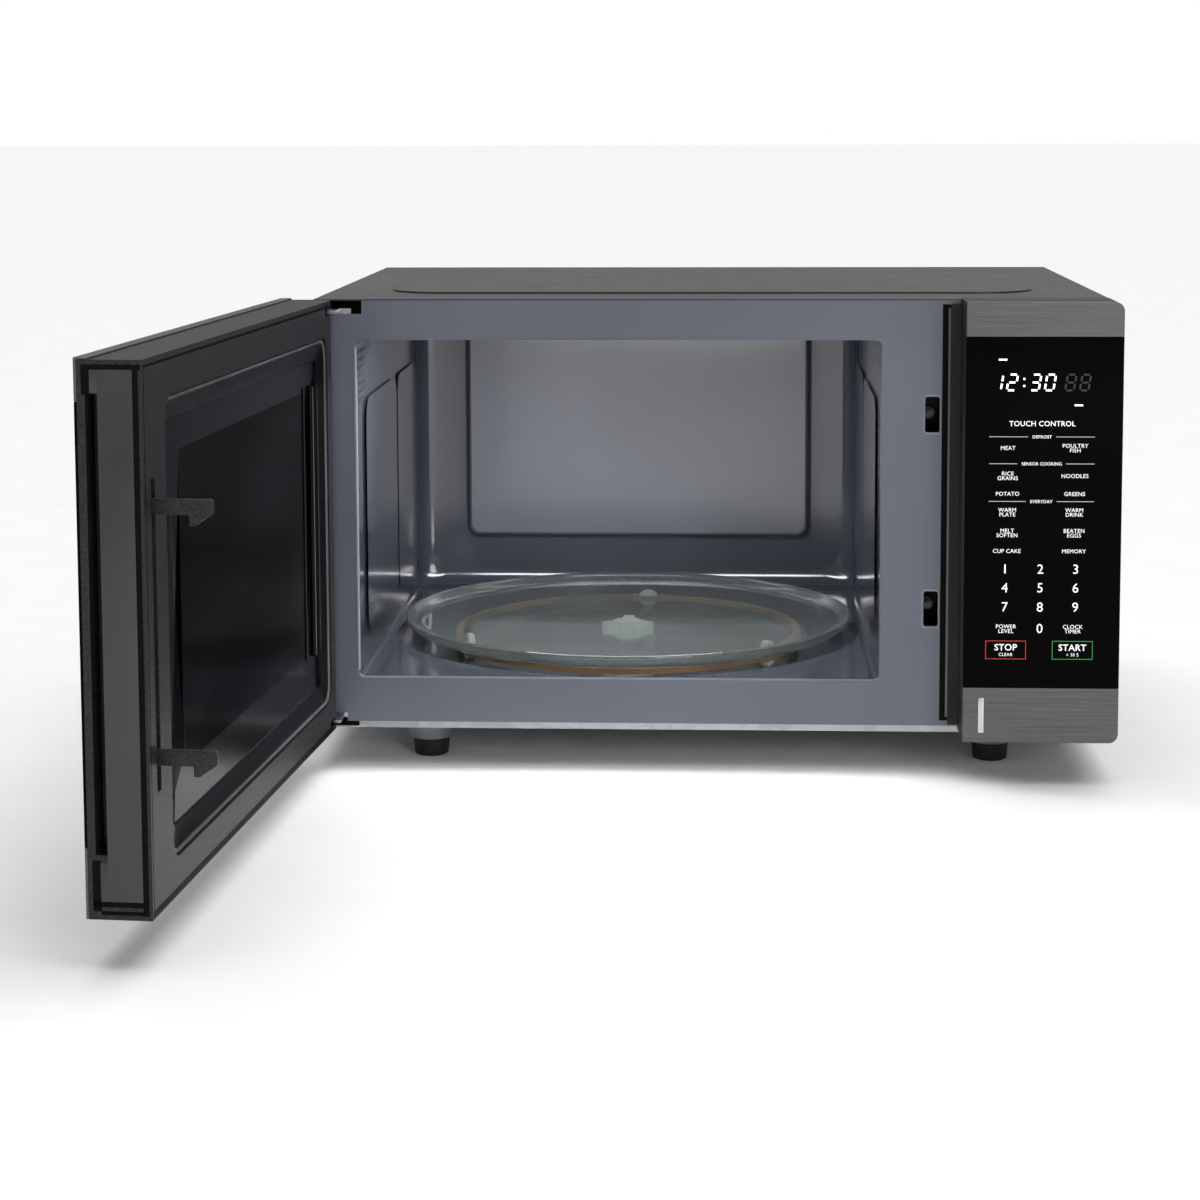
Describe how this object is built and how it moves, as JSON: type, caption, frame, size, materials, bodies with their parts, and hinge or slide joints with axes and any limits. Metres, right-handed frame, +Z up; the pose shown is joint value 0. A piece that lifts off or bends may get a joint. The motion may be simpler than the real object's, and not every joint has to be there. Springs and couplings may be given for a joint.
{
  "type": "microwave oven",
  "caption": "Countertop microwave oven with a side-hinged door standing open, glass turntable on a roller ring, touch control panel at the right and the works behind it.",
  "frame": {"origin": "on the counter, under the middle of the outline with the door standing open at rest", "axes": "+Z up, -Y towards the user, +X to the right as the user faces the door"},
  "size_m": [0.5672, 0.7866, 0.309],
  "materials": {
    "cabinet_grey": "satin dark grey powder coat",
    "galvanised_sheet": "zinc-coated sheet with a faint spangle",
    "plate_enamel": "slate grey stoving enamel, semi gloss",
    "brushed_trim": "dark brushed metal with horizontal grain",
    "panel_glass": "black glossy face",
    "housing_plastic": "black moulded plastic",
    "door_plastic": "charcoal moulded plastic with fine texture",
    "screen_steel": "black enamelled perforated steel",
    "window_film": "thin clear film",
    "tray_glass": "pressed soda glass with a green edge",
    "foot_rubber": "black moulded rubber",
    "ring_plastic": "heat-proof tan plastic",
    "white_plastic": "white moulded nylon",
    "board_green": "solder-masked board",
    "plated_steel": "bright zinc plate",
    "magnet_steel": "plated steel yoke and fins",
    "heat_sink_metal": "extruded, natural",
    "mica": "pressed mica sheet",
    "ceramic": "glazed ceramic",
    "coil_dark": "ferrite and varnished winding",
    "lamp_glass": "clear bulb",
    "display_dark": "smoked display window"
  },
  "bodies": {
    "cabinet": {"cabinet_cover": "cabinet_grey", "rear_panel": "galvanised_sheet", "base_plate": "galvanised_sheet", "feet": "foot_rubber", "front_plate": "plate_enamel", "cavity_liner": "plate_enamel", "cavity_back": "plate_enamel", "waveguide_cover": "mica", "waveguide": "galvanised_sheet", "magnetron": "magnet_steel", "magnetron_thermostat": "ceramic", "cavity_thermostat": "ceramic", "inverter_tray": "white_plastic", "inverter_board": "board_green", "inverter_transformer": "coil_dark", "heat_sink": "heat_sink_metal", "noise_filter": "board_green", "mains_fuse": "ceramic", "fan_shroud": "white_plastic", "fan_motor": "magnet_steel", "air_duct": "white_plastic", "exhaust_duct": "galvanised_sheet", "humidity_sensor": "white_plastic", "lamp_housing": "white_plastic", "lamp_bulb": "lamp_glass", "latch_switch_holder": "housing_plastic", "door_switches": "housing_plastic", "turntable_motor": "plated_steel", "control_housing": "housing_plastic", "control_glass": "panel_glass", "control_trim_top": "brushed_trim", "control_trim_bottom": "brushed_trim", "touch_film": "window_film", "display_module": "display_dark", "control_board": "board_green", "cord_bushing": "foot_rubber", "hinge_bracket_top": "plated_steel", "hinge_bracket_bottom": "plated_steel", "case_screws": "plated_steel", "bracket_screws": "plated_steel"},
    "door": {"door_frame": "door_plastic", "door_glass": "panel_glass", "door_trim_top": "brushed_trim", "door_trim_bottom": "brushed_trim", "door_screen": "screen_steel", "door_window_film": "window_film", "door_choke_cover": "door_plastic", "latch_spring": "plated_steel"},
    "latch": {"latch_lever": "door_plastic"},
    "plunger_upper": {"switch_plunger_upper": "white_plastic"},
    "plunger_lower": {"switch_plunger_lower": "white_plastic"},
    "turntable_drive": {"turntable_coupler": "white_plastic"},
    "turntable_tray": {"turntable_glass": "tray_glass"},
    "roller_ring": {"roller_ring": "ring_plastic"},
    "wheel_1": {"roller_wheel_1": "white_plastic"},
    "wheel_2": {"roller_wheel_2": "white_plastic"},
    "wheel_3": {"roller_wheel_3": "white_plastic"},
    "fan": {"fan_blades": "white_plastic"}
  },
  "joints": [
    {"name": "door_swing", "type": "hinge", "parent": "cabinet", "child": "door", "pos_m": [-0.22843, 0.01933, 0.1701], "axis": [0, 0, -1], "range_deg": [-94, 8]},
    {"name": "latch_slide", "type": "slide", "parent": "door", "child": "latch", "axis": [0, 0, 1], "range_m": [0, 0.004], "stiffness_N_per_m": 200, "springref_m": -0.002},
    {"name": "plunger_upper_press", "type": "slide", "parent": "cabinet", "child": "plunger_upper", "axis": [0, 1, 0], "range_m": [0, 0.0025], "stiffness_N_per_m": 150, "springref_m": -0.001},
    {"name": "plunger_lower_press", "type": "slide", "parent": "cabinet", "child": "plunger_lower", "axis": [0, 1, 0], "range_m": [0, 0.0025], "stiffness_N_per_m": 150, "springref_m": -0.001},
    {"name": "turntable_spin", "type": "hinge", "parent": "cabinet", "child": "turntable_drive", "pos_m": [-0.03613, 0.20183, 0.0533], "axis": [0, 0, 1], "continuous": true},
    {"name": "tray_lift", "type": "slide", "parent": "turntable_drive", "child": "turntable_tray", "axis": [0, 0, 1], "range_m": [0, 0.06]},
    {"name": "ring_spin", "type": "hinge", "parent": "cabinet", "child": "roller_ring", "pos_m": [-0.03613, 0.20183, 0.0533], "axis": [0, 0, 1], "continuous": true},
    {"name": "wheel_1_spin", "type": "hinge", "parent": "roller_ring", "child": "wheel_1", "pos_m": [0.06299, 0.13242, 0.0533], "axis": [0.8192, -0.5736, 0], "continuous": true},
    {"name": "wheel_2_spin", "type": "hinge", "parent": "roller_ring", "child": "wheel_2", "pos_m": [-0.02558, 0.32237, 0.0533], "axis": [0.0872, 0.9962, 0], "continuous": true},
    {"name": "wheel_3_spin", "type": "hinge", "parent": "roller_ring", "child": "wheel_3", "pos_m": [-0.14579, 0.15069, 0.0533], "axis": [-0.9063, -0.4226, 0], "continuous": true},
    {"name": "fan_spin", "type": "hinge", "parent": "cabinet", "child": "fan", "pos_m": [0.22157, 0.35483, 0.17], "axis": [0, 1, 0], "continuous": true}
  ],
  "couplings": [
    {"joint": "ring_spin", "follows": "turntable_spin", "ratio": 0.5},
    {"joint": "wheel_1_spin", "follows": "turntable_spin", "ratio": -8.6429},
    {"joint": "wheel_2_spin", "follows": "turntable_spin", "ratio": -8.6429},
    {"joint": "wheel_3_spin", "follows": "turntable_spin", "ratio": -8.6429}
  ]
}
